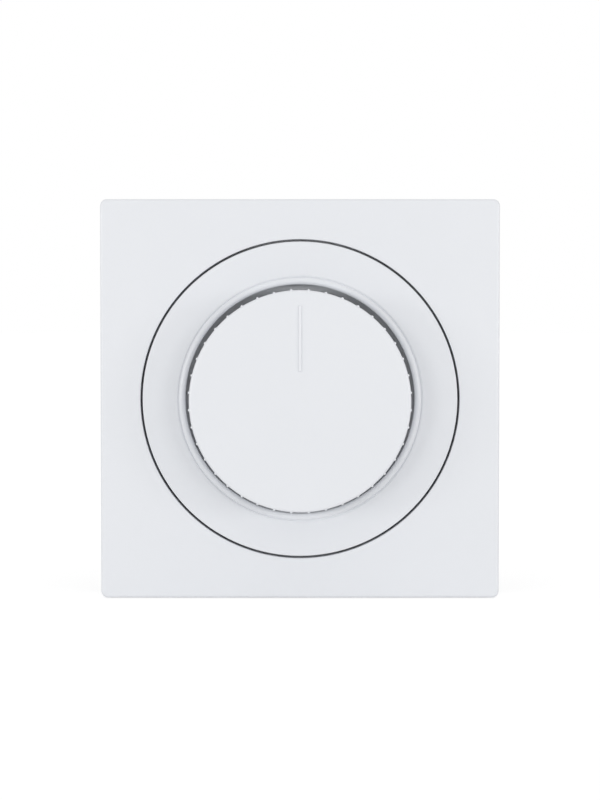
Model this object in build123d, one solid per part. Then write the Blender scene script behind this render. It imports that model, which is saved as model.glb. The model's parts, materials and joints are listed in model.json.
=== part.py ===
from build123d import *
from math import cos, radians, sin, sqrt
import os

# Rotary dimmer switch for a 60 mm wall box, in millimetres.
# It is drawn lying on its back: x to the right, y up the wall, z out of the wall, the wall's face at z = 0.
# The last step stands it upright, so that the knob looks along -Y and the top is +Z.

# Cover frame
plate_side = 81.5
plate_corner_r = 1.5
plate_front = 10.5
plate_wall = 1.8
plate_edge_r = 0.5
plate_draft = 1.0
pocket_corner_r = 0.8
crown_drop = 0.6
collar_wall = 1.4
ledge_width = 1.6
ledge_depth = 1.4
corner_rib = 1.2
opening_edge_r = 0.2

# Knob
knob_r = 22.1
knob_proud = 12.0
knob_edge_r = 0.5
knob_face = 2.0
skirt_wall = 1.8
grip_ribs = 40
grip_rib_r = 0.25
index_outer_r = 19.1
index_inner_r = 5.9
index_width = 0.65
index_height = 0.4
index_edge_r = 0.25
boss_r = 5.2
boss_slit = 0.8
web_count = 6
web_thickness = 1.0
ring_gauge = 0.6
ring_height = 2.5
ring_split = 2.0

# Centre cover
knob_clearance = 0.95
bead_width = 1.4
bead_overhang = 0.7
crease_angle = 60.0
crease_edge_r = 0.5
bezel_width = 7.3
bezel_wall = 1.8
rim_depth = 5.5
rim_land = 1.2
rim_taper = 0.6
rim_wall = 1.6
rim_edge_r = 0.2
ring_gap = 0.45
cup_wall = 1.5
cup_floor = 1.6

# Turning and pressing control
push_travel = 1.2
press_room = 0.4
shaft_r = 3.0
shaft_flat = 1.5
shaft_fit = 0.04
collar_r = 4.0
collar_length = 1.2
tail_r = 2.4
tail_flat = 1.7
end_float = 0.05
bushing_r = 5.0
thread_fit = 0.05
thread_showing = 0.5
hole_play = 0.1
nut_height = 2.0
nut_flats = 14.0
washer_gauge = 0.5
washer_r = 8.0
seat_plate = 1.2
seat_side = 15.0
case_r = 8.3
case_gauge = 0.5
case_depth = 7.0
track_gauge = 1.0
track_gap = 0.3
tongue_width = 10.0
tongue_reach = 3.4
terminal_gauge = 0.8
terminal_pitch = 3.5
rotor_gap = 0.6
rotor_face = 4.0
journal_r = 3.4
wiper_width = 2.0
wiper_reach = 3.0
wiper_gauge = 0.3

# Push switch
switch_width = 14.0
switch_height = 12.0
switch_depth = 7.0
switch_wall = 2.5
switch_front = 1.2
nose_r = 2.3
slider_gauge = 2.2
slider_play = 0.3
spring_r = 1.6
spring_wire_r = 0.2
spring_turns = 3.5
spring_pocket = 0.8
contact_gauge = 0.4
contact_width = 1.2
contact_spacing = 6.0

# Steel strap
strap_gauge = 1.0
strap_gap = 3.2
strap_chamfer = 8.0
strap_bend_r = 0.6
flange_height = 2.5
flange_length = 44.0
box_screw_spacing = 60.0
box_slot_r = 1.8
box_slot_length = 5.6
screw_play = 0.2

# Rear housing
housing_width = 38.0
housing_height = 50.0
housing_corner_r = 9.0
housing_depth = 28.0
housing_wall = 1.6
housing_floor = 1.6
housing_edge_r = 1.0
boss_inset = 3.0
post_r = 2.6
foot_r = 1.6
foot_rim = 1.0
pilot_r = 1.25
pilot_depth = 10.0
hook_width = 8.0
vent_count = 5
vent_width = 1.6
vent_length = 12.0
vent_pitch = 3.6
vent_height = 7.0
window_gap = 0.3

# Fixing claws
claw_offset = 9.0
claw_width = 8.0
claw_gauge = 1.2
claw_side_gap = 0.3
pivot_gap = 2.6
pivot_depth = 11.0
pin_r = 0.9
pin_fit = 0.05
eye_r = 1.8
ear_gauge = 1.4
ear_reach = 2.0
claw_screw_offset = 3.6
claw_screw_r = 1.45
claw_screw_end = 2.0
claw_slot_play = 0.35
claw_swing = 24.0
lug_rim = 1.2
arm_length = 10.5
tooth_length = 3.0
tooth_angle = 25.0
tooth_count = 3
head_r = 2.5
head_height = 1.6
head_slot = 0.8
head_slot_depth = 0.8

# Circuit board and what is soldered to it
board_gauge = 1.6
board_gap = 0.3
part_gap = 1.5
triac_width = 10.0
triac_length = 9.2
triac_height = 4.4
tab_gauge = 1.3
tab_length = 6.4
tab_hole_inset = 2.8
tab_screw_r = 1.4
lead_width = 0.8
lead_gauge = 0.5
lead_pitch = 2.54
lead_reach = 1.6
pad_gauge = 0.25
pad_margin = 0.8
small_nut_flats = 5.5
small_nut_height = 2.4
core_inner_r = 3.0
core_height = 5.6
core_gap = 0.5
core_wall_gap = 0.8
wire_width = 0.8
wire_turns = 12
wire_gap_turns = 2
wire_slack = 0.06
filter_wall_gap = 1.6
filter_length = 13.0
filter_height = 10.5
filter_edge_r = 0.6
timing_thickness = 2.5
timing_height = 6.5
resistor_r = 1.15
resistor_length = 6.4
resistor_pitch = 3.2
diac_r = 0.9
diac_length = 4.0
diac_wall_gap = 1.2
pin_wire_r = 0.3
pin_reach = 1.4
fuse_r = 2.6
fuse_length = 20.0
fuse_bore_r = 1.9
fuse_cap_length = 5.0
fuse_cap_gauge = 0.3
fuse_lift = 1.2
clip_gauge = 0.5
clip_width = 4.0

# Terminals
pole_count = 3
pole_pitch = 6.4
block_end = 0.6
block_height = 10.4
block_edge_gap = 1.9
wire_hole_r = 1.6
wire_wall = 2.4
cage_width = 5.0
cage_height = 6.4
cage_depth = 7.0
cage_play = 0.15
cage_rise = 1.1
wire_rise = 0.9
clamp_screw_r = 1.4
clamp_head_r = 2.0
clamp_head_height = 1.4
clamp_tip_gap = 0.3
clamp_head_gap = 0.4
access_r = 2.3

# Radii that follow from the knob outwards
grip_r = knob_r + grip_rib_r
throat_r = grip_r + knob_clearance
bead_r = bead_width / (1 + sin(radians(crease_angle)))
crease_r = throat_r + bead_width
bezel_r = crease_r + crease_edge_r * sin(radians(crease_angle))
rim_r = crease_r + bezel_width
opening_r = rim_r + ring_gap
ledge_r = opening_r - ledge_width
collar_r_out = opening_r + collar_wall
well_r = throat_r + bead_overhang
cup_r = well_r + cup_wall

# Heights that follow from the wall outwards
half_diagonal = plate_side / sqrt(2)
crown_r = (half_diagonal**2 + crown_drop**2) / (2 * crown_drop)
rim_front = plate_front - (crown_r - sqrt(crown_r**2 - opening_r**2))
rim_seat = rim_front - rim_depth
ledge_back = rim_seat - ledge_depth
bezel_back = rim_front - bezel_wall
crease_z = rim_front - crease_edge_r * (1 - cos(radians(crease_angle)))
bead_z = crease_z - bead_r * cos(radians(crease_angle))
floor_back = strap_gauge + nut_height
floor_top = floor_back + cup_floor
cover_nut_z = floor_top + washer_gauge
bushing_top = cover_nut_z + nut_height + thread_showing
knob_top = plate_front + knob_proud
knob_inside = knob_top - knob_face
skirt_end = floor_top + push_travel + press_room
boss_end = bushing_top + push_travel + press_room
shaft_top = knob_inside - press_room

# Depths that follow from the wall inwards
seat_back = -seat_plate
case_back = seat_back - case_depth
switch_back = case_back - switch_depth
board_front = switch_back
board_back = board_front - board_gauge
housing_back = -housing_depth
floor_inside = housing_back + housing_floor
tail_end = case_back - press_room

# Sizes across the housing
inner_width = housing_width - 2 * housing_wall
inner_height = housing_height - 2 * housing_wall
inner_corner_r = housing_corner_r - housing_wall
strap_side = plate_side - 2 * plate_wall - 2 * strap_gap
boss_x = inner_width / 2 - boss_inset
boss_y = inner_height / 2 - boss_inset
pivot_x = -(housing_width / 2 + pivot_gap)
pivot_z = -pivot_depth
claw_screw_x = pivot_x - claw_screw_offset
claw_screw_z = pivot_z - claw_screw_end
triac_y = case_r + part_gap + triac_width / 2
tab_hole_x = -(tab_length + triac_length) / 2 + tab_hole_inset
tongue_y = -(case_r + tongue_reach)
fuse_y = tongue_y - part_gap - fuse_r - clip_gauge
block_width = pole_count * pole_pitch + 2 * block_end
block_y = -(inner_height / 2 - block_edge_gap - block_height / 2)
cage_y = block_y + cage_rise
cage_bottom = cage_y - cage_height / 2
cage_top = housing_back + wire_wall + cage_depth
cage_z = cage_top - cage_depth / 2
wire_y = cage_y + wire_rise
clamp_tip = wire_y - wire_hole_r - clamp_tip_gap
clamp_seat = cage_bottom - clamp_head_gap

UP = (Align.CENTER, Align.CENTER, Align.MIN)


def rod(radius, bottom, top, x=0, y=0):
    return Pos(x, y, bottom) * Cylinder(radius, top - bottom, align=UP)


def tube(outer, inner, bottom, top, x=0, y=0):
    return rod(outer, bottom, top, x, y) - rod(inner, bottom, top, x, y)


def block(width, height, bottom, top, x=0, y=0):
    return Pos(x, y, bottom) * Box(width, height, top - bottom, align=UP)


def cross_rod(radius, length, x=0, y=0, z=0):
    return Pos(x, y, z) * Rot(90, 0, 0) * Cylinder(radius, length)


def pole_x(i):
    return (i - (pole_count - 1) / 2) * pole_pitch


def prism(sketch, bottom, top):
    return extrude(Pos(0, 0, bottom) * sketch, top - bottom)


def turned(*edges):
    return revolve(Plane.XZ * make_face(edges), Axis.Z)


def flatted(radius, flat, bottom, top):
    cut = block(4 * radius, 2 * radius, bottom, top, 0, flat + radius)
    return rod(radius, bottom, top) - cut


def hex_nut(flats, bore, bottom, top, x=0, y=0):
    outline = RegularPolygon(flats / 2, 6, major_radius=False)
    corners = turned(*Polyline(
        (0, bottom),
        (flats / 2, bottom),
        (flats * 0.62, bottom + flats * 0.07),
        (flats * 0.62, top - flats * 0.07),
        (flats / 2, top),
        (0, top),
        close=True,
    ).edges())
    return Pos(x, y) * ((prism(outline, bottom, top) & corners) - rod(bore, bottom, top))


def slotted_screw(shank_r, radius, height, seat, tip, x=0, y=0):
    head = rod(radius, seat, seat + height)
    head = fillet(head.faces().sort_by(Axis.Z)[-1].edges(), height * 0.35)
    slot = block(4 * radius, head_slot, seat + height - head_slot_depth, seat + 2 * height)
    return Pos(x, y) * (head + rod(shank_r, tip, seat) - slot)


def opposite(shape):
    return Rot(0, 0, 180) * shape


def crown_ball(inset=0.0):
    ball = Sphere(crown_r - inset)
    return Pos(0, 0, plate_front - crown_r) * Rot(90, 0, 0) * ball


pieces = {}

# The cover frame is a drafted square shell with a slightly crowned face and a ledge inside its opening.
shell = extrude(RectangleRounded(plate_side, plate_side, plate_corner_r), plate_front, taper=plate_draft)
shell = shell & crown_ball()
shell = fillet(shell.faces().sort_by(Axis.Z)[-1].edges(), plate_edge_r)
pocket_side = plate_side - 2 * plate_wall
pocket = prism(RectangleRounded(pocket_side, pocket_side, pocket_corner_r), 0, plate_front)
pocket = pocket & crown_ball(plate_wall)
frame = shell - pocket
collar = rod(collar_r_out, ledge_back, plate_front) & shell
rib_length = half_diagonal - opening_r - plate_wall
rib = block(rib_length, corner_rib, strap_gauge, plate_front - plate_wall / 2, opening_r + rib_length / 2)
frame = frame + collar
for corner in range(4):
    frame = frame + (Rot(0, 0, 45 + 90 * corner) * rib & shell)
frame = frame - rod(opening_r, rim_seat, 2 * plate_front) - rod(ledge_r, 0, plate_front)
mouth = frame.edges().filter_by(GeomType.CIRCLE).filter_by(lambda e: abs(e.radius - opening_r) < 0.01)
frame = fillet(mouth.group_by(Axis.Z)[-1], opening_edge_r)
pieces["cover_frame"] = frame

# The centre cover is turned: a rim skirt, a flat bezel, a bead round the throat and a cup for the knob.
bead_x = throat_r + bead_r
bead_mid = (bead_x - bead_r * 0.5, bead_z + bead_r * sqrt(0.75))
bead_under = (well_r, bead_z - sqrt(bead_r**2 - (bead_x - well_r) ** 2))
under_mid = (bead_x - bead_r * sqrt(0.75), bead_z - bead_r * 0.5)
half_angle = radians(crease_angle / 2)
crease_mid = (bezel_r - crease_edge_r * sin(half_angle), rim_front - crease_edge_r * (1 - cos(half_angle)))
edge_mid = (rim_r - rim_edge_r * (1 - sqrt(0.5)), rim_front - rim_edge_r * (1 - sqrt(0.5)))
cover_bore_r = bushing_r + hole_play
cover = turned(
    *Polyline(
        (rim_r, rim_front - rim_edge_r),
        (rim_r, rim_front - rim_land),
        (rim_r - rim_taper, rim_seat),
        (rim_r - rim_taper - rim_wall, rim_seat),
        (rim_r - rim_taper - rim_wall, bezel_back),
        (cup_r, bezel_back),
        (cup_r, floor_back),
        (cover_bore_r, floor_back),
        (cover_bore_r, floor_top),
        (well_r, floor_top),
        bead_under,
    ).edges(),
    ThreePointArc(bead_under, under_mid, (throat_r, bead_z)),
    ThreePointArc((throat_r, bead_z), bead_mid, (crease_r, crease_z)),
    ThreePointArc((crease_r, crease_z), crease_mid, (bezel_r, rim_front)),
    Line((bezel_r, rim_front), (rim_r - rim_edge_r, rim_front)),
    ThreePointArc((rim_r - rim_edge_r, rim_front), edge_mid, (rim_r, rim_front - rim_edge_r)),
)
pieces["centre_cover"] = cover

# The knob is a hollow turned cap with grip ribs, an index bar, a slotted boss and webs.
ring_bottom = boss_end + press_room
web_bottom = ring_bottom + ring_height + press_room
edge_mid = (knob_r - knob_edge_r * (1 - sqrt(0.5)), knob_top - knob_edge_r * (1 - sqrt(0.5)))
knob = turned(
    *Polyline(
        (knob_r, knob_top - knob_edge_r),
        (knob_r, skirt_end),
        (knob_r - skirt_wall, skirt_end),
        (knob_r - skirt_wall, knob_inside),
        (boss_r, knob_inside),
        (boss_r, boss_end),
        (0, boss_end),
        (0, knob_top),
        (knob_r - knob_edge_r, knob_top),
    ).edges(),
    ThreePointArc((knob_r - knob_edge_r, knob_top), edge_mid, (knob_r, knob_top - knob_edge_r)),
)
web_length = knob_r - skirt_wall - boss_r
web = block(web_length, web_thickness, web_bottom, knob_inside, boss_r + web_length / 2)
webs = [Rot(0, 0, 360 / web_count * (i + 0.5)) * web for i in range(web_count)]
rib_top = knob_top - knob_edge_r
grip = rod(grip_rib_r, skirt_end, rib_top, knob_r) + Pos(knob_r, 0, rib_top) * Sphere(grip_rib_r)
rib_angle = 360 / grip_ribs
grips = [Rot(0, 0, 90 + rib_angle * (i + 0.5)) * grip for i in range(grip_ribs)]
index_length = index_outer_r - index_inner_r
index_shape = SlotOverall(index_length, index_width, rotation=90)
index_shape = Pos(0, (index_outer_r + index_inner_r) / 2) * index_shape
index_bar = prism(index_shape, knob_top, knob_top + index_height)
index_bar = fillet(index_bar.faces().sort_by(Axis.Z)[-1].edges(), index_edge_r)
knob = knob + webs + grips + index_bar
shaft_bore = flatted(shaft_r + shaft_fit, shaft_flat + shaft_fit, boss_end, shaft_top + end_float)
slits = block(2 * boss_r + boss_slit, boss_slit, boss_end, web_bottom)
pieces["knob"] = knob - shaft_bore - slits

spring_ring = tube(boss_r + ring_gauge, boss_r, ring_bottom, ring_bottom + ring_height)
pieces["knob_spring_ring"] = spring_ring - block(2 * boss_r, ring_split, ring_bottom, web_bottom, boss_r)

# The shaft turns in the bushing, stops on its collar and drives the rotor by a flatted tail.
collar_front = seat_back - end_float
collar_end = collar_front - collar_length
pieces["pot_shaft"] = (
    rod(shaft_r, collar_front, boss_end)
    + flatted(shaft_r, shaft_flat, boss_end, shaft_top)
    + rod(collar_r, collar_end, collar_front)
    + flatted(tail_r, tail_flat, tail_end, collar_end)
)
seat = block(seat_side, seat_side, seat_back, 0)
thread = rod(bushing_r, 0, bushing_top)
thread = chamfer(thread.faces().sort_by(Axis.Z)[-1].edges(), thread_showing * 0.8)
pieces["pot_bushing"] = seat + thread - rod(shaft_r + shaft_fit, seat_back, bushing_top)
nut_bore = bushing_r + thread_fit
pieces["bushing_nuts"] = Compound([
    hex_nut(nut_flats, nut_bore, strap_gauge, floor_back),
    hex_nut(nut_flats, nut_bore, cover_nut_z, cover_nut_z + nut_height),
])
pieces["cover_washer"] = tube(washer_r, cover_bore_r, floor_top, cover_nut_z)

# The track is a thin disc with a tongue that carries three soldered pins.
track_back = seat_back - track_gauge
track_r = case_r - case_gauge - track_gap
tongue = block(tongue_width, -tongue_y, track_back, seat_back, 0, tongue_y / 2)
track = rod(track_r, track_back, seat_back) + tongue
pieces["pot_track"] = track - rod(collar_r + track_gap, track_back, seat_back)
pin_y = tongue_y + terminal_gauge * 1.5
pieces["pot_terminals"] = Compound([
    block(terminal_gauge, terminal_gauge, board_front, track_back, terminal_pitch * i, pin_y)
    for i in (-1, 0, 1)
])
case_floor = case_back + case_gauge
case = rod(case_r, case_back, seat_back) - rod(case_r - case_gauge, case_floor, seat_back)
tongue_gap = block(tongue_width + 2 * track_gap, case_r, track_back - track_gap, seat_back, 0, -case_r)
pieces["pot_case"] = case - tongue_gap - rod(journal_r + shaft_fit, case_back, case_floor)

rotor_r = case_r - case_gauge - rotor_gap
rotor_front = -rotor_face
rotor = rod(rotor_r, case_floor + end_float, rotor_front) + rod(journal_r, case_back, rotor_front)
pieces["pot_rotor"] = rotor - flatted(tail_r + shaft_fit, tail_flat + shaft_fit, case_back, rotor_front)
wiper_y = (track_r + collar_r + track_gap) / 2
wiper_top = track_back - end_float
wiper = make_face(Polyline(
    (wiper_width, rotor_front),
    (wiper_width, rotor_front + wiper_gauge),
    (0, rotor_front + wiper_gauge),
    (wiper_gauge - wiper_width, wiper_top),
    (-wiper_reach, wiper_top),
    (-wiper_reach, wiper_top - wiper_gauge),
    (-wiper_width, wiper_top - wiper_gauge),
    (-1.5 * wiper_gauge, rotor_front),
    close=True,
))
pieces["pot_wiper"] = Pos(0, wiper_y, 0) * extrude(Plane.XZ * wiper, wiper_width / 2, both=True)

# The push switch: an open box on the board, a slider, a bridge, two posts and a return spring.
cavity_width = switch_width - 2 * switch_wall
cavity_height = switch_height - 2 * switch_wall
cavity_top = case_back - switch_front
slider_top = cavity_top - slider_play
slider_back = slider_top - slider_gauge
switch_cavity = block(cavity_width, cavity_height, switch_back, cavity_top)
switch_hole = rod(nose_r + slider_play, cavity_top, case_back)
switch = block(switch_width, switch_height, switch_back, case_back)
pieces["switch_body"] = switch - switch_cavity - switch_hole
slider = block(cavity_width - 2 * slider_play, cavity_height - 2 * slider_play, slider_back, slider_top)
slider = slider + rod(nose_r, slider_top, tail_end - end_float)
pocket_top = slider_back + spring_pocket
pieces["switch_slider"] = slider - rod(spring_r + 2 * spring_wire_r, slider_back, pocket_top)
bridge_y = cavity_height / 2 - slider_play - contact_width / 2
bridge_back = slider_back - contact_gauge
bridge_width = contact_spacing + contact_width
pieces["moving_contact"] = block(bridge_width, contact_width, bridge_back, slider_back, 0, bridge_y)
post_top = bridge_back - push_travel - end_float
pieces["fixed_contacts"] = Compound([
    block(contact_width, contact_width, board_front, post_top, side * contact_spacing / 2, bridge_y)
    for side in (-1, 1)
])
coil_height = pocket_top - board_front - 2 * spring_wire_r
coil = Helix(coil_height / spring_turns, coil_height, spring_r)
coil_section = Plane(coil @ 0, z_dir=coil % 0) * Circle(spring_wire_r)
pieces["return_spring"] = Pos(0, 0, board_front + spring_wire_r) * sweep(coil_section, coil)

# The strap is a pressed steel plate that screws to the wall box.
outline = chamfer(Rectangle(strap_side, strap_side).vertices(), strap_chamfer)
strap = prism(outline, 0, strap_gauge)
edge_y = strap_side / 2
for side in (-1, 1):
    flange_y = side * (edge_y - strap_gauge / 2)
    strap = strap + block(flange_length, strap_gauge, 0, strap_gauge + flange_height, 0, flange_y)
bends = strap.edges().filter_by(Axis.X).group_by(Axis.Z)[0]
bends = bends.filter_by(lambda e: abs(e.center().Y) > edge_y - 0.01)
strap = fillet(bends, strap_bend_r)
box_slot = Pos(box_screw_spacing / 2, 0) * SlotOverall(box_slot_length, 2 * box_slot_r)
box_slot = prism(box_slot, 0, strap_gauge)
for quarter in range(4):
    strap = strap - Rot(0, 0, 90 * quarter) * box_slot
strap = strap - rod(bushing_r + hole_play, 0, strap_gauge)
claw_hole = rod(claw_screw_r + screw_play, 0, strap_gauge, claw_screw_x, claw_offset)
strap = strap - claw_hole - opposite(claw_hole)
for side in (-1, 1):
    strap = strap - rod(pilot_r + screw_play, 0, strap_gauge, side * boss_x, boss_y)
strap = strap - rod(tab_screw_r + screw_play, 0, strap_gauge, tab_hole_x, triac_y)
hook_y = -(housing_height - housing_wall) / 2
hook_hole = block(hook_width + 2 * screw_play, housing_wall + 2 * screw_play, 0, strap_gauge, 0, hook_y)
pieces["mounting_strap"] = strap - hook_hole

# The rear housing is a rounded box with screw bosses, board feet, vents, a terminal window and claw ears.
outer = prism(RectangleRounded(housing_width, housing_height, housing_corner_r), housing_back, 0)
outer = fillet(outer.faces().sort_by(Axis.Z)[0].edges(), housing_edge_r)
housing = outer - prism(RectangleRounded(inner_width, inner_height, inner_corner_r), floor_inside, 0)
ear_y = (claw_width + ear_gauge) / 2 + claw_side_gap
ear_root = -(housing_width - housing_wall) / 2
for side in (-1, 1):
    boss = rod(post_r, floor_inside, 0, side * boss_x, boss_y)
    shoulder = rod(post_r + foot_rim, floor_inside, board_back, side * boss_x, boss_y)
    foot = rod(foot_r, floor_inside, board_back, side * boss_x, -boss_y)
    housing = housing + ((boss + shoulder + foot) & outer)
    housing = housing - rod(pilot_r, -pilot_depth, 0, side * boss_x, boss_y)
    y = claw_offset + side * ear_y
    arm = Box(ear_root - pivot_x, ear_gauge, 2 * ear_reach, align=(Align.MIN, Align.CENTER, Align.CENTER))
    ear = Pos(pivot_x, y, pivot_z) * arm + cross_rod(ear_reach, ear_gauge, pivot_x, y, pivot_z)
    ear = ear - cross_rod(pin_r + pin_fit, ear_gauge, pivot_x, y, pivot_z)
    housing = housing + ear + opposite(ear)
housing = housing - block(
    block_width + 2 * window_gap, block_height + 2 * window_gap, housing_back, floor_inside, 0, block_y
)
for i in range(pole_count):
    wall_y = -(housing_height - housing_wall) / 2
    housing = housing - cross_rod(access_r, 2 * housing_wall, pole_x(i), wall_y, cage_z)
vent = prism(SlotOverall(vent_length, vent_width, rotation=90), housing_back, floor_inside)
for i in range(vent_count):
    housing = housing - Pos((i - (vent_count - 1) / 2) * vent_pitch, vent_height) * vent
pieces["rear_housing"] = housing + block(hook_width, housing_wall, 0, strap_gauge, 0, hook_y)
housing_screw_end = thread_fit - pilot_depth
housing_screw = slotted_screw(pilot_r - thread_fit, head_r, head_height, strap_gauge, housing_screw_end)
pieces["housing_screws"] = Compound([Pos(side * boss_x, boss_y) * housing_screw for side in (-1, 1)])

# Each fixing claw is a bent lever on a pin, drawn out against the wall box by its screw.
swing = radians(claw_swing)
tilt = claw_gauge / 2 * sin(swing)
slot_in = (claw_screw_offset - claw_screw_r - claw_slot_play - tilt) / cos(swing)
slot_out = (claw_screw_offset + claw_screw_r + claw_slot_play + tilt) / cos(swing)
lug_reach = slot_out + lug_rim
lug = block(lug_reach, claw_width, -claw_gauge / 2, claw_gauge / 2, -lug_reach / 2)
claw_arm = block(claw_gauge, claw_width, -arm_length, 0)
tooth_step = claw_width / tooth_count
tooth_end = []
for i in range(tooth_count):
    start = -claw_width / 2 + i * tooth_step
    tooth_end += [(-tooth_length, start), (-tooth_length / 2, start + tooth_step / 2)]
tooth_end.append((-tooth_length, claw_width / 2))
tooth = make_face(Polyline(*tooth_end, (0, claw_width / 2), (0, -claw_width / 2), close=True))
tooth = Pos(claw_gauge / 2, 0, -arm_length) * Rot(0, -tooth_angle, 0) * extrude(tooth, claw_gauge)
claw = lug + claw_arm + tooth + cross_rod(eye_r, claw_width)
claw = claw - cross_rod(pin_r + pin_fit, claw_width)
claw_slot = SlotOverall(slot_out - slot_in, 2 * (claw_screw_r + claw_slot_play))
claw = claw - prism(Pos(-(slot_in + slot_out) / 2, 0) * claw_slot, -eye_r, eye_r)
claw = Pos(pivot_x, claw_offset, pivot_z) * claw
pieces["claw_left"] = claw
pieces["claw_right"] = opposite(claw)
pin = cross_rod(pin_r, claw_width + 2 * claw_side_gap + 2 * ear_gauge, pivot_x, claw_offset, pivot_z)
pieces["claw_pins"] = Compound([pin, opposite(pin)])
claw_screw = slotted_screw(claw_screw_r, head_r, head_height, strap_gauge, claw_screw_z)
claw_screw = Pos(claw_screw_x, claw_offset) * claw_screw
pieces["claw_screw_left"] = claw_screw
pieces["claw_screw_right"] = opposite(claw_screw)

# The circuit board lies on the housing's shoulders and feet.
board_width = inner_width - 2 * board_gap
board_height = inner_height - 2 * board_gap
board_outline = RectangleRounded(board_width, board_height, inner_corner_r - board_gap)
board = prism(board_outline, board_back, board_front)
for side in (-1, 1):
    board = board - rod(post_r + board_gap, board_back, board_front, side * boss_x, boss_y)
pieces["circuit_board"] = board

# The triac is screwed to the back of the strap through an insulating pad.
tab_back = -pad_gauge - tab_gauge
pad = block(
    tab_length + triac_length + 2 * pad_margin, triac_width + 2 * pad_margin, -pad_gauge, 0, 0, triac_y
)
screw_hole = rod(tab_screw_r + screw_play, tab_back, 0, tab_hole_x, triac_y)
pieces["triac_pad"] = pad - screw_hole
tab_x = -(triac_length + tab_length) / 2 + tab_length / 2
pieces["triac_tab"] = block(tab_length, triac_width, tab_back, -pad_gauge, tab_x, triac_y) - screw_hole
body_x = tab_x + (tab_length + triac_length) / 2
triac_back = -pad_gauge - triac_height
pieces["triac_body"] = block(triac_length, triac_width, triac_back, -pad_gauge, body_x, triac_y)
lead_x = body_x + triac_length / 2
lead_z = (triac_back + tab_back) / 2
leads = []
for i in (-1, 0, 1):
    y = triac_y + i * lead_pitch
    level = block(lead_reach, lead_width, lead_z - lead_gauge, lead_z, lead_x + lead_reach / 2, y)
    drop = block(lead_gauge, lead_width, board_front, lead_z, lead_x + lead_reach - lead_gauge / 2, y)
    leads.append(level + drop)
pieces["triac_leads"] = Compound(leads)
nut_back = tab_back - small_nut_height
triac_nut = hex_nut(small_nut_flats, tab_screw_r + thread_fit, nut_back, tab_back)
pieces["triac_nut"] = Pos(tab_hole_x, triac_y) * triac_nut
triac_screw = slotted_screw(tab_screw_r, head_r, head_height, strap_gauge, nut_back - thread_showing)
pieces["triac_screw"] = Pos(tab_hole_x, triac_y) * triac_screw

# The suppression choke is a toroid with separate turns of wire.
core_room = inner_height / 2 - case_r - core_gap - core_wall_gap
core_outer_r = core_room / 2 - wire_width - 2 * wire_slack
core_y = case_r + core_gap + core_room / 2
core_bottom = board_front + wire_width + wire_slack
core_top = core_bottom + core_height
pieces["choke_core"] = tube(core_outer_r, core_inner_r, core_bottom, core_top, 0, core_y)
loop_width = core_outer_r - core_inner_r + 3 * wire_slack
loop_height = core_height + 2 * wire_slack
loop_inner = Rectangle(loop_width, loop_height)
loop_outer = RectangleRounded(loop_width + 2 * wire_width, loop_height + 2 * wire_width, wire_width)
loop_x = (core_outer_r + core_inner_r - wire_slack) / 2
loop = extrude(Plane.XZ * (loop_outer - loop_inner), wire_width / 2, both=True)
loop = Pos(loop_x, 0, (core_bottom + core_top) / 2) * loop
turn = 360 / (wire_turns + wire_gap_turns)
pieces["choke_winding"] = Compound([
    Pos(0, core_y) * Rot(0, 0, 90 + turn * (i + (wire_gap_turns + 1) / 2)) * loop for i in range(wire_turns)
])

# Capacitors, resistors, diac and fuse stand on the board's front side.
filter_width = inner_width / 2 - case_r - part_gap - filter_wall_gap
filter_x = case_r + part_gap + filter_width / 2
filter_body = block(filter_width, filter_length, board_front, board_front + filter_height, filter_x)
filter_edges = filter_body.edges().filter_by(Axis.Z) + filter_body.faces().sort_by(Axis.Z)[-1].edges()
pieces["filter_capacitor"] = fillet(filter_edges, filter_edge_r)
timing_y = (filter_length + timing_thickness) / 2 + part_gap
timing = block(filter_width, timing_thickness, board_front, board_front + timing_height, filter_x, timing_y)
pieces["timing_capacitor"] = chamfer(timing.faces().sort_by(Axis.Z)[-1].edges(), timing_thickness / 6)


def axial_part(radius, length):
    lift = board_front + radius
    part = cross_rod(radius, length, 0, 0, lift) + cross_rod(pin_wire_r, length + 2 * pin_reach, 0, 0, lift)
    for side in (-1, 1):
        part = part + rod(pin_wire_r, board_front, lift + pin_wire_r, 0, side * (length / 2 + pin_reach))
    return part


resistor_x = case_r + part_gap + resistor_r
pieces["resistors"] = Compound([
    Pos(-resistor_x - i * resistor_pitch, 0) * axial_part(resistor_r, resistor_length) for i in range(2)
])
diac_x = diac_wall_gap + diac_length / 2 + pin_reach + pin_wire_r - inner_width / 2
diac_y = tongue_y + part_gap / 2
diac = Rot(0, 0, 90) * axial_part(diac_r, diac_length)
pieces["diac"] = Pos(diac_x, diac_y) * diac

fuse_z = board_front + fuse_lift + fuse_r
lie = Pos(0, fuse_y, fuse_z) * Rot(0, 90, 0)
half_fuse = fuse_length / 2
tube_r = fuse_r - fuse_cap_gauge
tube_end = half_fuse - fuse_cap_gauge
pieces["fuse_tube"] = lie * tube(tube_r, fuse_bore_r, -tube_end, tube_end)
cap_start = half_fuse - fuse_cap_length
cap = rod(fuse_r, cap_start, half_fuse) - rod(tube_r, cap_start, tube_end)
pieces["fuse_caps"] = Compound([lie * cap, lie * Rot(180, 0, 0) * cap])
pieces["fuse_wire"] = lie * rod(fuse_cap_gauge / 2, -tube_end, tube_end)
clip_x = half_fuse - fuse_cap_length / 2
clip = block(clip_width, 2 * (fuse_r + clip_gauge), board_front, fuse_z + fuse_r / 2)
clip = clip - block(clip_width, 2 * fuse_r, board_front + clip_gauge, fuse_z + fuse_r)
pieces["fuse_clips"] = Compound([Pos(side * clip_x, fuse_y) * clip for side in (-1, 1)])

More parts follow.
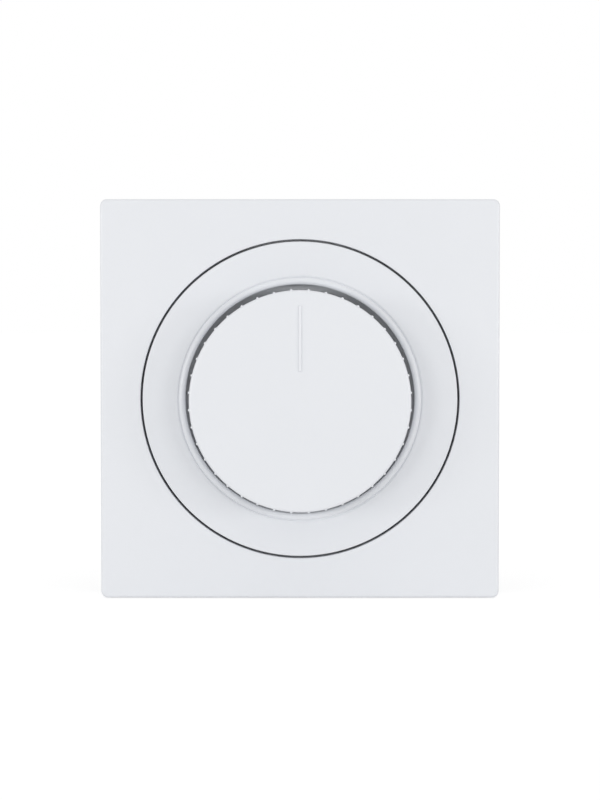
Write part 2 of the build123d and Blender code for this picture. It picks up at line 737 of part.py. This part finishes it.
# The terminal block fills the housing's window, with one brass cage and clamp screw for each pole.
terminal = block(block_width, block_height, housing_back, board_back, 0, block_y)
cages = []
clamps = []
for i in range(pole_count):
    x = pole_x(i)
    chamber_width = cage_width + 2 * cage_play
    chamber_height = cage_height + 2 * cage_play
    chamber = block(chamber_width, chamber_height, housing_back + wire_wall, board_back, x, cage_y)
    wire_hole = rod(wire_hole_r, housing_back, cage_top, x, wire_y)
    clamp_hole = cross_rod(clamp_screw_r + thread_fit, cage_height, x, clamp_tip - cage_height / 2, cage_z)
    head_hole = cross_rod(clamp_head_r + screw_play, block_height, x, cage_bottom - block_height / 2, cage_z)
    terminal = terminal - chamber - wire_hole - head_hole
    cage = block(cage_width, cage_height, housing_back + wire_wall, cage_top, x, cage_y)
    leg_y = cage_y + cage_height / 2 - terminal_gauge
    cage = cage + block(terminal_gauge, terminal_gauge, cage_top, board_back, x, leg_y)
    cages.append(cage - wire_hole - clamp_hole)
    clamp = slotted_screw(clamp_screw_r, clamp_head_r, clamp_head_height, 0, clamp_seat - clamp_tip)
    clamps.append(Pos(x, clamp_seat, cage_z) * Rot(90, 0, 0) * clamp)
pieces["terminal_block"] = terminal
pieces["terminal_cages"] = Compound(cages)
pieces["terminal_screws"] = Compound(clamps)

# Standing upright: the front looks along -Y.
os.makedirs("parts", exist_ok=True)
for name, piece in pieces.items():
    export_step(Rot(90, 0, 0) * piece, f"parts/{name}.step")
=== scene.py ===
# %% [markdown]
# # A rotary wall dimmer
# The dimmer is a square white frame with a round inset and a large ribbed knob, in front of a steel strap,
# two fixing claws and a rear housing with terminals. The solids already have the true shapes and sizes, so
# this lesson dresses them: it sets up the camera, a plain stage and soft light, gives every piece a finish
# made of nodes, adds screw threads, which are too fine for the solids, and winds the return spring again as
# a mesh.

# %% Load the frame
import bpy
import json
import math
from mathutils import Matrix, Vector


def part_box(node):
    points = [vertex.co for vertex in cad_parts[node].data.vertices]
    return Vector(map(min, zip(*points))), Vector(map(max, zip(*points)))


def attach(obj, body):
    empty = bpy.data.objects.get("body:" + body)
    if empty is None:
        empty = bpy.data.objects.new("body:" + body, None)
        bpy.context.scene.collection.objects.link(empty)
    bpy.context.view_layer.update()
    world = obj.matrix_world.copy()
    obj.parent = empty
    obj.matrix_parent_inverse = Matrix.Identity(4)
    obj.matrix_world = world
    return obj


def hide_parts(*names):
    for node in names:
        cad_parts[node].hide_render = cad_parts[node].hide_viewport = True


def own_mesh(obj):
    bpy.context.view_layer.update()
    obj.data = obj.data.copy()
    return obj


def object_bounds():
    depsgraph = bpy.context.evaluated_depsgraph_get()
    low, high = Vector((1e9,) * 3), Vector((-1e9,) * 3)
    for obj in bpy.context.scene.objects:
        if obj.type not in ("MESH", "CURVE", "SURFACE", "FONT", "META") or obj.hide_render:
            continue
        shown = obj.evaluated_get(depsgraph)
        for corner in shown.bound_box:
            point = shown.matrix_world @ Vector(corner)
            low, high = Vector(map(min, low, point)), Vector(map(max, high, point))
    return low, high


MM_PER_METRE = 1000


def in_mm(length):
    return round(MM_PER_METRE * length, 2)


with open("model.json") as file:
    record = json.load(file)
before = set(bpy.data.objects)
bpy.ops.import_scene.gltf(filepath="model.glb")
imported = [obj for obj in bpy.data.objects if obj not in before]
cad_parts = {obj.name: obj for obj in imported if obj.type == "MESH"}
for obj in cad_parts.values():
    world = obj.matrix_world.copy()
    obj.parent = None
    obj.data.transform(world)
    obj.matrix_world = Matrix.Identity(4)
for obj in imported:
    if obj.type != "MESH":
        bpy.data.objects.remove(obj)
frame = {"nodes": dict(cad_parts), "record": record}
cad_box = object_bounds()
nodes = frame["nodes"]
low, high = (Vector(corner) for corner in cad_box)
print("loaded", len(nodes), "nodes, size in mm:", [in_mm(side) for side in high - low])

# %% [markdown]
# ## Camera
# The front is seen almost square on, from a little above the middle: the gap round the knob is wide at the
# top, narrower at the sides and thin at the bottom. A camera half a metre away and a finger's width above
# the knob's axis shows exactly that. A lens shift could do it too, but it would follow the camera into every
# other view, so the camera is tilted instead. The lens follows from how many pixels the plate fills, and the
# plate's middle lies a little less than a pixel above the picture's.

# %% Place the camera
IMAGE_HEIGHT = 800
MM_PER_PIXEL = 0.2033
PIXELS_ABOVE_MIDDLE = 0.87
CAMERA_DISTANCE = 0.5
CAMERA_HEIGHT = 0.020
SENSOR_MM = 24
NEAREST_SEEN = 0.01

plate_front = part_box("cover_frame")[0].y
reach = math.hypot(CAMERA_DISTANCE, CAMERA_HEIGHT)
focal_pixels = MM_PER_METRE / MM_PER_PIXEL * reach
tilt = math.atan2(CAMERA_HEIGHT, CAMERA_DISTANCE) + PIXELS_ABOVE_MIDDLE / focal_pixels
camera_data = bpy.data.cameras.new("camera")
camera_data.sensor_fit = "VERTICAL"
camera_data.sensor_height = SENSOR_MM
camera_data.lens = SENSOR_MM * focal_pixels / IMAGE_HEIGHT
camera_data.clip_start = NEAREST_SEEN
camera = bpy.data.objects.new("camera", camera_data)
bpy.context.scene.collection.objects.link(camera)
camera.location = (0, plate_front - CAMERA_DISTANCE, CAMERA_HEIGHT)
camera.rotation_euler = (math.pi / 2 - tilt, 0, 0)
bpy.context.scene.camera = camera
bpy.context.scene.view_settings.view_transform = "Standard"
print("lens in mm:", round(camera_data.lens, 2), "tilt in degrees:", round(math.degrees(tilt), 3))

# %% [markdown]
# ## Stage
# The dimmer stands on a wide pale floor in a white surround, like a product on a light table. Both look
# white to the camera: the surround through its strength, the floor through a glow that only looking rays
# see, on top of a weaker paint that still takes the object's shadow. For all other rays the surround is a
# soft, even light from every side, a little weaker than white, which leaves room for the lamps.

# %% Build the stage
FLOOR_SIDE = 8.0
FLOOR_ALBEDO = 0.92
FLOOR_GLOW = 0.77
FLOOR_SHADOW_PAINT = 0.35
SURROUND_LIGHT = 0.705


def link_sockets(tree, *pairs):
    for start, end in pairs:
        tree.links.new(start, end)


def add_node(tree, kind, **inputs):
    node = tree.nodes.new(kind)
    for name, value in inputs.items():
        node.inputs[name.replace("_", " ")].default_value = value
    return node


def grey(value):
    return (value, value, value, 1)


def larger(tree, first, second):
    node = add_node(tree, "ShaderNodeMath")
    node.operation = "MAXIMUM"
    link_sockets(tree, (first, node.inputs[0]), (second, node.inputs[1]))
    return node.outputs[0]


def looking_rays(tree):
    rays = add_node(tree, "ShaderNodeLightPath").outputs
    mirrored = larger(tree, rays["Is Glossy Ray"], rays["Is Transmission Ray"])
    return larger(tree, rays["Is Camera Ray"], mirrored)


floor_mesh = bpy.data.meshes.new("floor")
half = FLOOR_SIDE / 2
floor_corners = [(-half, -half, 0), (half, -half, 0), (half, half, 0), (-half, half, 0)]
floor_mesh.from_pydata(floor_corners, [], [(0, 1, 2, 3)])
floor = bpy.data.objects.new("floor", floor_mesh)
bpy.context.scene.collection.objects.link(floor)
floor.location.z = low.z
floor_finish = bpy.data.materials.new("floor_paint")
floor_finish.use_nodes = True
tree = floor_finish.node_tree
tree.nodes.clear()
paint = add_node(tree, "ShaderNodeBsdfDiffuse", Color=grey(FLOOR_ALBEDO))
shadow_paint = add_node(tree, "ShaderNodeBsdfDiffuse", Color=grey(FLOOR_SHADOW_PAINT))
glow = add_node(tree, "ShaderNodeEmission", Strength=FLOOR_GLOW)
seen_paint = add_node(tree, "ShaderNodeAddShader")
choice = add_node(tree, "ShaderNodeMixShader")
out = add_node(tree, "ShaderNodeOutputMaterial")
link_sockets(
    tree,
    (shadow_paint.outputs[0], seen_paint.inputs[0]),
    (glow.outputs[0], seen_paint.inputs[1]),
    (looking_rays(tree), choice.inputs[0]),
    (paint.outputs[0], choice.inputs[1]),
    (seen_paint.outputs[0], choice.inputs[2]),
    (choice.outputs[0], out.inputs["Surface"]),
)
floor_mesh.materials.append(floor_finish)

world = bpy.data.worlds.new("surround")
bpy.context.scene.world = world
world.use_nodes = True
tree = world.node_tree
tree.nodes.clear()
level = add_node(tree, "ShaderNodeMapRange", To_Min=SURROUND_LIGHT, To_Max=1.0)
sky = add_node(tree, "ShaderNodeBackground", Color=grey(1))
out = add_node(tree, "ShaderNodeOutputWorld")
link_sockets(
    tree,
    (looking_rays(tree), level.inputs["Value"]),
    (level.outputs["Result"], sky.inputs["Strength"]),
    (sky.outputs[0], out.inputs["Surface"]),
)
print("floor at mm:", in_mm(low.z))

# %% [markdown]
# ## Light
# The inset is shaded softly left, right and below the knob but hardly above it, so most light is even and
# the rest comes from lamps to the left and right, a little above the knob. Two lamps a side make the shading
# fade out slowly: the pair far out to the sides casts long shadows, the other pair short ones. Each lamp is
# given by its azimuth and elevation in degrees, seen from the plate, by its distance, width and height in
# metres, and by its power in watts.

# %% Hang the lamps
LAMPS = {
    "left": (-25, 3, 2.0, 0.4, 0.35, 4.3),
    "right": (25, 3, 2.0, 0.4, 0.35, 3.9),
    "far_left": (-50, 3, 2.0, 0.7, 0.4, 4.6),
    "far_right": (50, 3, 2.0, 0.7, 0.4, 4.5),
}


def hang_lamp(name, azimuth, elevation, distance, width, height, power):
    across, up = math.radians(azimuth), math.radians(elevation)
    ahead = math.cos(up)
    place = distance * Vector((math.sin(across) * ahead, -math.cos(across) * ahead, math.sin(up)))
    lamp_data = bpy.data.lights.new(name, "AREA")
    lamp_data.shape = "RECTANGLE"
    lamp_data.size = width
    lamp_data.size_y = height
    lamp_data.energy = power
    lamp = bpy.data.objects.new("lamp_" + name, lamp_data)
    bpy.context.scene.collection.objects.link(lamp)
    lamp.location = place
    lamp.rotation_euler = (-place).to_track_quat("-Z", "Y").to_euler()


for name, lamp in LAMPS.items():
    hang_lamp(name, *lamp)
print("lamps:", ", ".join(LAMPS))

# %% [markdown]
# ## White plastic
# The frame, the inset and the knob are injection moulded from the same white plastic with a silky gloss.
# One finish serves all three: a cool white, a gloss that wanders a little, and a very fine moulded grain. An
# image of such a grain would need an unwrapped surface, so noise in the object's own space makes it instead.
# Noise values crowd round the middle, so a ramp spreads them over the range that is wanted.

# %% Mix the white plastic
def finish(name):
    material = bpy.data.materials.new(name)
    material.use_nodes = True
    tree = material.node_tree
    return material, tree, tree.nodes["Principled BSDF"]


def noise(tree, scale, detail=2.0):
    coords = add_node(tree, "ShaderNodeTexCoord")
    mapping = add_node(tree, "ShaderNodeMapping")
    mapping.inputs["Scale"].default_value = scale
    texture = add_node(tree, "ShaderNodeTexNoise", Scale=1.0, Detail=detail)
    link_sockets(
        tree,
        (coords.outputs["Object"], mapping.inputs["Vector"]),
        (mapping.outputs["Vector"], texture.inputs["Vector"]),
    )
    return texture.outputs["Fac"]


NOISE_LOW, NOISE_HIGH = 0.2, 0.8


def spread(tree, value, low_end, high_end):
    ramp = add_node(
        tree, "ShaderNodeMapRange", From_Min=NOISE_LOW, From_Max=NOISE_HIGH, To_Min=low_end, To_Max=high_end
    )
    ramp.interpolation_type = "SMOOTHSTEP"
    link_sockets(tree, (value, ramp.inputs["Value"]))
    return ramp.outputs["Result"]


def two_tints(tree, value, first, second):
    mix = add_node(tree, "ShaderNodeMix")
    mix.data_type = "RGBA"
    mix.inputs["A"].default_value = (*first, 1)
    mix.inputs["B"].default_value = (*second, 1)
    link_sockets(tree, (spread(tree, value, 0.0, 1.0), mix.inputs["Factor"]))
    return mix.outputs["Result"]


def grain(tree, surface, value, depth, edge_radius):
    bump = add_node(tree, "ShaderNodeBump", Strength=1.0, Distance=depth)
    link_sockets(tree, (value, bump.inputs["Height"]), (bump.outputs["Normal"], surface.inputs["Normal"]))
    if edge_radius:
        rounded = add_node(tree, "ShaderNodeBevel", Radius=edge_radius)
        link_sockets(tree, (rounded.outputs["Normal"], bump.inputs["Normal"]))


def even_scale(size):
    return (1 / size, 1 / size, 1 / size)


def plastic(name, first, second, gloss, grain_size, grain_depth, edge_radius=0.0, patch_size=0.02):
    material, tree, surface = finish(name)
    patches = noise(tree, even_scale(patch_size), detail=3.0)
    link_sockets(
        tree,
        (two_tints(tree, patches, first, second), surface.inputs["Base Color"]),
        (spread(tree, patches, *gloss), surface.inputs["Roughness"]),
    )
    grain(tree, surface, noise(tree, even_scale(grain_size)), grain_depth, edge_radius)
    return material


finishes = {}
finishes["white_plastic"] = plastic(
    "white_plastic", (0.794, 0.810, 0.840), (0.800, 0.815, 0.845), gloss=(0.285, 0.325),
    grain_size=0.0006, grain_depth=0.0000006,
)
print("mixed", finishes["white_plastic"].name)

# %% [markdown]
# ## The other plastics
# The rear housing is a grey heat-proof moulding with a spark-eroded grain. The terminal block is cream
# nylon, and the switch and rotor are black. The electrical parts inside are coated or potted: a powdered
# yellow choke core, box capacitors, an epoxy triac on a grey pad, a laminate board and a brown resistive
# track. They differ only in numbers, so one table feeds the same recipe: two tints, the range of the
# roughness, the size and depth of the grain, and the rounding of the edges.

# %% Mix the other plastics
EDGE = 0.00015
PLASTICS = {
    "housing_plastic": ((0.23, 0.235, 0.245), (0.265, 0.27, 0.28), (0.42, 0.55), 0.00035, 0.00002, EDGE),
    "terminal_plastic": ((0.66, 0.63, 0.53), (0.71, 0.68, 0.58), (0.34, 0.44), 0.0005, 0.000004, EDGE),
    "black_plastic": ((0.018, 0.018, 0.019), (0.028, 0.028, 0.030), (0.35, 0.5), 0.0004, 0.000006, EDGE),
    "black_epoxy": ((0.014, 0.014, 0.015), (0.024, 0.024, 0.025), (0.5, 0.65), 0.00015, 0.000008, EDGE),
    "brown_phenolic": ((0.16, 0.075, 0.03), (0.21, 0.10, 0.045), (0.4, 0.55), 0.0005, 0.000006, EDGE),
    "board_laminate": ((0.46, 0.33, 0.16), (0.54, 0.40, 0.21), (0.4, 0.5), 0.0004, 0.000005, EDGE),
    "grey_pad": ((0.36, 0.37, 0.39), (0.42, 0.43, 0.45), (0.7, 0.85), 0.0003, 0.000008, 0.0),
    "core_coating": ((0.72, 0.50, 0.04), (0.80, 0.58, 0.07), (0.35, 0.5), 0.0006, 0.000012, 0.0003),
    "film_case": ((0.42, 0.44, 0.47), (0.47, 0.49, 0.52), (0.4, 0.5), 0.0004, 0.000006, 0.0003),
    "film_case_small": ((0.40, 0.05, 0.03), (0.46, 0.07, 0.045), (0.3, 0.42), 0.0005, 0.000006, 0.0003),
    "diac_coating": ((0.03, 0.10, 0.38), (0.05, 0.13, 0.44), (0.2, 0.3), 0.0006, 0.000004, 0.0002),
}
for name, recipe in PLASTICS.items():
    finishes[name] = plastic(name, *recipe)
print("mixed", len(PLASTICS), "plastics")

# %% [markdown]
# ## Metals
# The strap, claws and screws are zinc-plated steel: the plating is satin, with streaks that the rolling of
# the sheet left along its length. Turned pieces have fine rings round the axis instead, so their noise is
# stretched across the axis. A small rounding in the shading takes the knife edge off cut and turned metal.

# %% Mix the metals
ROLLED = (150.0, 2600.0, 2600.0)
TURNED = (120.0, 5200.0, 120.0)
DRAWN = (900.0, 900.0, 900.0)
PLATING_PATCH = 0.006
METALS = {
    "zinc_steel": ((0.60, 0.615, 0.64), (0.68, 0.69, 0.70), (0.27, 0.42), ROLLED, 0.000003),
    "spring_steel": ((0.36, 0.36, 0.37), (0.43, 0.43, 0.44), (0.22, 0.34), DRAWN, 0.000002),
    "nickel_brass": ((0.66, 0.63, 0.56), (0.71, 0.68, 0.61), (0.18, 0.30), TURNED, 0.000003),
    "shaft_alloy": ((0.74, 0.75, 0.76), (0.80, 0.81, 0.82), (0.28, 0.40), TURNED, 0.000004),
    "bare_brass": ((0.70, 0.50, 0.22), (0.77, 0.57, 0.28), (0.24, 0.38), ROLLED, 0.000003),
    "tinned_wire": ((0.64, 0.64, 0.65), (0.72, 0.72, 0.73), (0.22, 0.40), DRAWN, 0.000003),
    "copper_wire": ((0.62, 0.22, 0.08), (0.69, 0.27, 0.11), (0.24, 0.34), DRAWN, 0.000003),
}


def metal(name, first, second, gloss, streak_scale, streak_depth):
    material, tree, surface = finish(name)
    surface.inputs["Metallic"].default_value = 1.0
    streaks = noise(tree, streak_scale, detail=4.0)
    patches = noise(tree, even_scale(PLATING_PATCH), detail=3.0)
    link_sockets(
        tree,
        (two_tints(tree, patches, first, second), surface.inputs["Base Color"]),
        (spread(tree, streaks, *gloss), surface.inputs["Roughness"]),
    )
    grain(tree, surface, streaks, streak_depth, EDGE)
    return material


for name, recipe in METALS.items():
    finishes[name] = metal(name, *recipe)
print("mixed", len(METALS), "metals")

# %% [markdown]
# ## Glass and colour bands
# The fuse is a clear glass tube with a faint unevenness. The resistors are beige with colour bands. Bands
# are rings at fixed shares of the resistor's length, so they need no separate pieces: a stepped colour ramp
# along the resistor gives them, from a list of where each band starts and ends.

# %% Mix the glass and the banded coating
GLASS_WAVE, GLASS_DEPTH, GLASS_GLOSS = 0.003, 0.00001, (0.02, 0.06)
LACQUER_WAVE, LACQUER_DEPTH, LACQUER_GLOSS = 0.0008, 0.000006, (0.25, 0.4)
RESISTOR_BEIGE = (0.62, 0.50, 0.30)
BANDS = [
    (0.36, 0.41, (0.30, 0.10, 0.02)),
    (0.45, 0.50, (0.02, 0.02, 0.02)),
    (0.54, 0.59, (0.75, 0.42, 0.02)),
    (0.64, 0.68, (0.60, 0.42, 0.10)),
]


def glass(name):
    material, tree, surface = finish(name)
    surface.inputs["Transmission Weight"].default_value = 1.0
    waves = noise(tree, even_scale(GLASS_WAVE))
    link_sockets(tree, (spread(tree, waves, *GLASS_GLOSS), surface.inputs["Roughness"]))
    grain(tree, surface, waves, GLASS_DEPTH, 0.0)
    return material


def banded_coating(name, start, end):
    material, tree, surface = finish(name)
    coords = add_node(tree, "ShaderNodeTexCoord")
    split = add_node(tree, "ShaderNodeSeparateXYZ")
    share = add_node(tree, "ShaderNodeMapRange", From_Min=start, From_Max=end)
    ramp = add_node(tree, "ShaderNodeValToRGB")
    ramp.color_ramp.interpolation = "CONSTANT"
    stops = [(0.0, RESISTOR_BEIGE)]
    for band_start, band_end, tint in BANDS:
        stops += [(band_start, tint), (band_end, RESISTOR_BEIGE)]
    for place, _ in stops[2:]:
        ramp.color_ramp.elements.new(place)
    for element, (place, tint) in zip(ramp.color_ramp.elements, stops):
        element.position = place
        element.color = (*tint, 1)
    lacquer = noise(tree, even_scale(LACQUER_WAVE))
    link_sockets(
        tree,
        (coords.outputs["Object"], split.inputs[0]),
        (split.outputs["X"], share.inputs["Value"]),
        (share.outputs["Result"], ramp.inputs[0]),
        (ramp.outputs["Color"], surface.inputs["Base Color"]),
        (spread(tree, lacquer, *LACQUER_GLOSS), surface.inputs["Roughness"]),
    )
    grain(tree, surface, lacquer, LACQUER_DEPTH, 0.0)
    return material


finishes["clear_glass"] = glass("clear_glass")
resistor_low, resistor_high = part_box("resistors")
finishes["resistor_coating"] = banded_coating("resistor_coating", resistor_low.x, resistor_high.x)
print("mixed the glass and the banded coating")

# %% [markdown]
# ## Dress every node
# Each node takes the finish of its material slot in the record. A slot without a finish would be listed, so
# that none is forgotten.

# %% Assign the finishes
slot_of = {entry["node"]: entry["material_slot"] for entry in frame["record"]["subparts"]}
print("slots without a finish:", sorted({slot for slot in slot_of.values() if slot not in finishes}))
for name, node in nodes.items():
    node.data.materials.clear()
    node.data.materials.append(finishes[slot_of[name]])

# %% [markdown]
# ## Screw threads
# The two claw screws reach far out behind the plate, so their threads show. A bump could only fake them,
# and their outline would stay smooth. A thread is one ridge that winds round the shank: each step along the
# ridge has a crest point between two root points, a little further round and a little further along the
# screw than the step before. The crest runs out to nothing at both ends.

# %% Wind the threads
THREAD_PITCH = 0.0005
THREAD_RISE = 0.00015
HALF_WIDTH_PER_PITCH = 0.45
THREAD_STEPS = 24
THREAD_START = 0.0006
THREAD_END_GAP = 0.0003
SHANK_END = 0.0001


def wind_thread(name, screw):
    screw_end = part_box(screw)[1].y
    shank = [v.co for v in nodes[screw].data.vertices if v.co.y > screw_end - SHANK_END]
    axis_x = sum(point.x for point in shank) / len(shank)
    axis_z = sum(point.z for point in shank) / len(shank)
    root = max(math.hypot(point.x - axis_x, point.z - axis_z) for point in shank)
    half_width = HALF_WIDTH_PER_PITCH * THREAD_PITCH
    steps = int((screw_end - THREAD_END_GAP - THREAD_START) / THREAD_PITCH * THREAD_STEPS)
    points, faces = [], []
    for step in range(steps + 1):
        turn = 2 * math.pi * step / THREAD_STEPS
        along = THREAD_START + THREAD_PITCH * step / THREAD_STEPS
        run_out = min(1.0, step / THREAD_STEPS, (steps - step) / THREAD_STEPS)
        crest = root + THREAD_RISE * run_out
        for radius, offset in ((root, -half_width), (crest, 0.0), (root, half_width)):
            x = axis_x + radius * math.cos(turn)
            z = axis_z + radius * math.sin(turn)
            points.append((x, along + offset, z))
        if step:
            a, b = 3 * step - 3, 3 * step
            faces += [(a, a + 1, b + 1, b), (a + 1, a + 2, b + 2, b + 1), (a + 2, a, b, b + 2)]
    faces += [(0, 2, 1), (3 * steps, 3 * steps + 1, 3 * steps + 2)]
    mesh = bpy.data.meshes.new(name)
    mesh.from_pydata(points, [], faces)
    mesh.materials.append(finishes["zinc_steel"])
    thread = bpy.data.objects.new(name, mesh)
    bpy.context.scene.collection.objects.link(thread)
    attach(thread, screw)
    return len(faces), root


for side in ("left", "right"):
    count, root = wind_thread("claw_thread_" + side, "claw_screw_" + side)
    print("thread", side, count, "faces on a shank of radius mm:", in_mm(root))

# %% [markdown]
# ## Return spring
# A coil spring between the board and the switch's slider pushes the knob back out. A rigid coil would cut
# into the slider when the knob is pressed. So the coil is wound again here as a mesh that stands for the
# solid one, which is hidden; the mesh is wound at the solid spring's rest length. The wire is a ring of
# points carried along a helix, with a close-wound turn at each end, as real springs have.

# %% Wind the return spring
SPRING_WIRE_R = 0.0002
SPRING_END_TURNS = 1.0
SPRING_OPEN_TURNS = 3.0
SPRING_END_PITCH = 0.00044
SPRING_STEPS = 40
WIRE_SIDES = 10


def coil_points(radius, start, end):
    open_pitch = (end - start - 2 * SPRING_END_TURNS * SPRING_END_PITCH) / SPRING_OPEN_TURNS
    turns = 2 * SPRING_END_TURNS + SPRING_OPEN_TURNS
    count = int(turns * SPRING_STEPS)
    for step in range(count + 1):
        turn = step * turns / count
        along = start + SPRING_END_PITCH * min(turn, SPRING_END_TURNS)
        along += open_pitch * min(max(turn - SPRING_END_TURNS, 0), SPRING_OPEN_TURNS)
        along += SPRING_END_PITCH * max(turn - SPRING_END_TURNS - SPRING_OPEN_TURNS, 0)
        angle = 2 * math.pi * turn
        yield Vector((radius * math.cos(angle), along, radius * math.sin(angle)))


def sweep_wire(name, path, wire_r):
    points, faces = [], []
    along = Vector((0, 1, 0))
    for place, centre in enumerate(path):
        outward = Vector((centre.x, 0, centre.z)).normalized()
        for side in range(WIRE_SIDES):
            angle = 2 * math.pi * side / WIRE_SIDES
            points.append(centre + wire_r * (math.cos(angle) * outward + math.sin(angle) * along))
        if place:
            first, second = WIRE_SIDES * (place - 1), WIRE_SIDES * place
            for side in range(WIRE_SIDES):
                after = (side + 1) % WIRE_SIDES
                faces.append((first + side, first + after, second + after, second + side))
    last = len(points) - WIRE_SIDES
    faces.append(tuple(reversed(range(WIRE_SIDES))))
    faces.append(tuple(range(last, last + WIRE_SIDES)))
    mesh = bpy.data.meshes.new(name)
    mesh.from_pydata(points, [], faces)
    mesh.shade_smooth()
    wire = bpy.data.objects.new(name, mesh)
    bpy.context.scene.collection.objects.link(wire)
    return wire


spring_low, spring_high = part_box("return_spring")
coil_r = spring_high.x - SPRING_WIRE_R
path = list(coil_points(coil_r, spring_low.y + SPRING_WIRE_R, spring_high.y - SPRING_WIRE_R))
spring = sweep_wire("switch_spring", path, SPRING_WIRE_R)
spring.data.materials.append(finishes["spring_steel"])
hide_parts("return_spring")
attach(spring, "base")
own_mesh(spring)
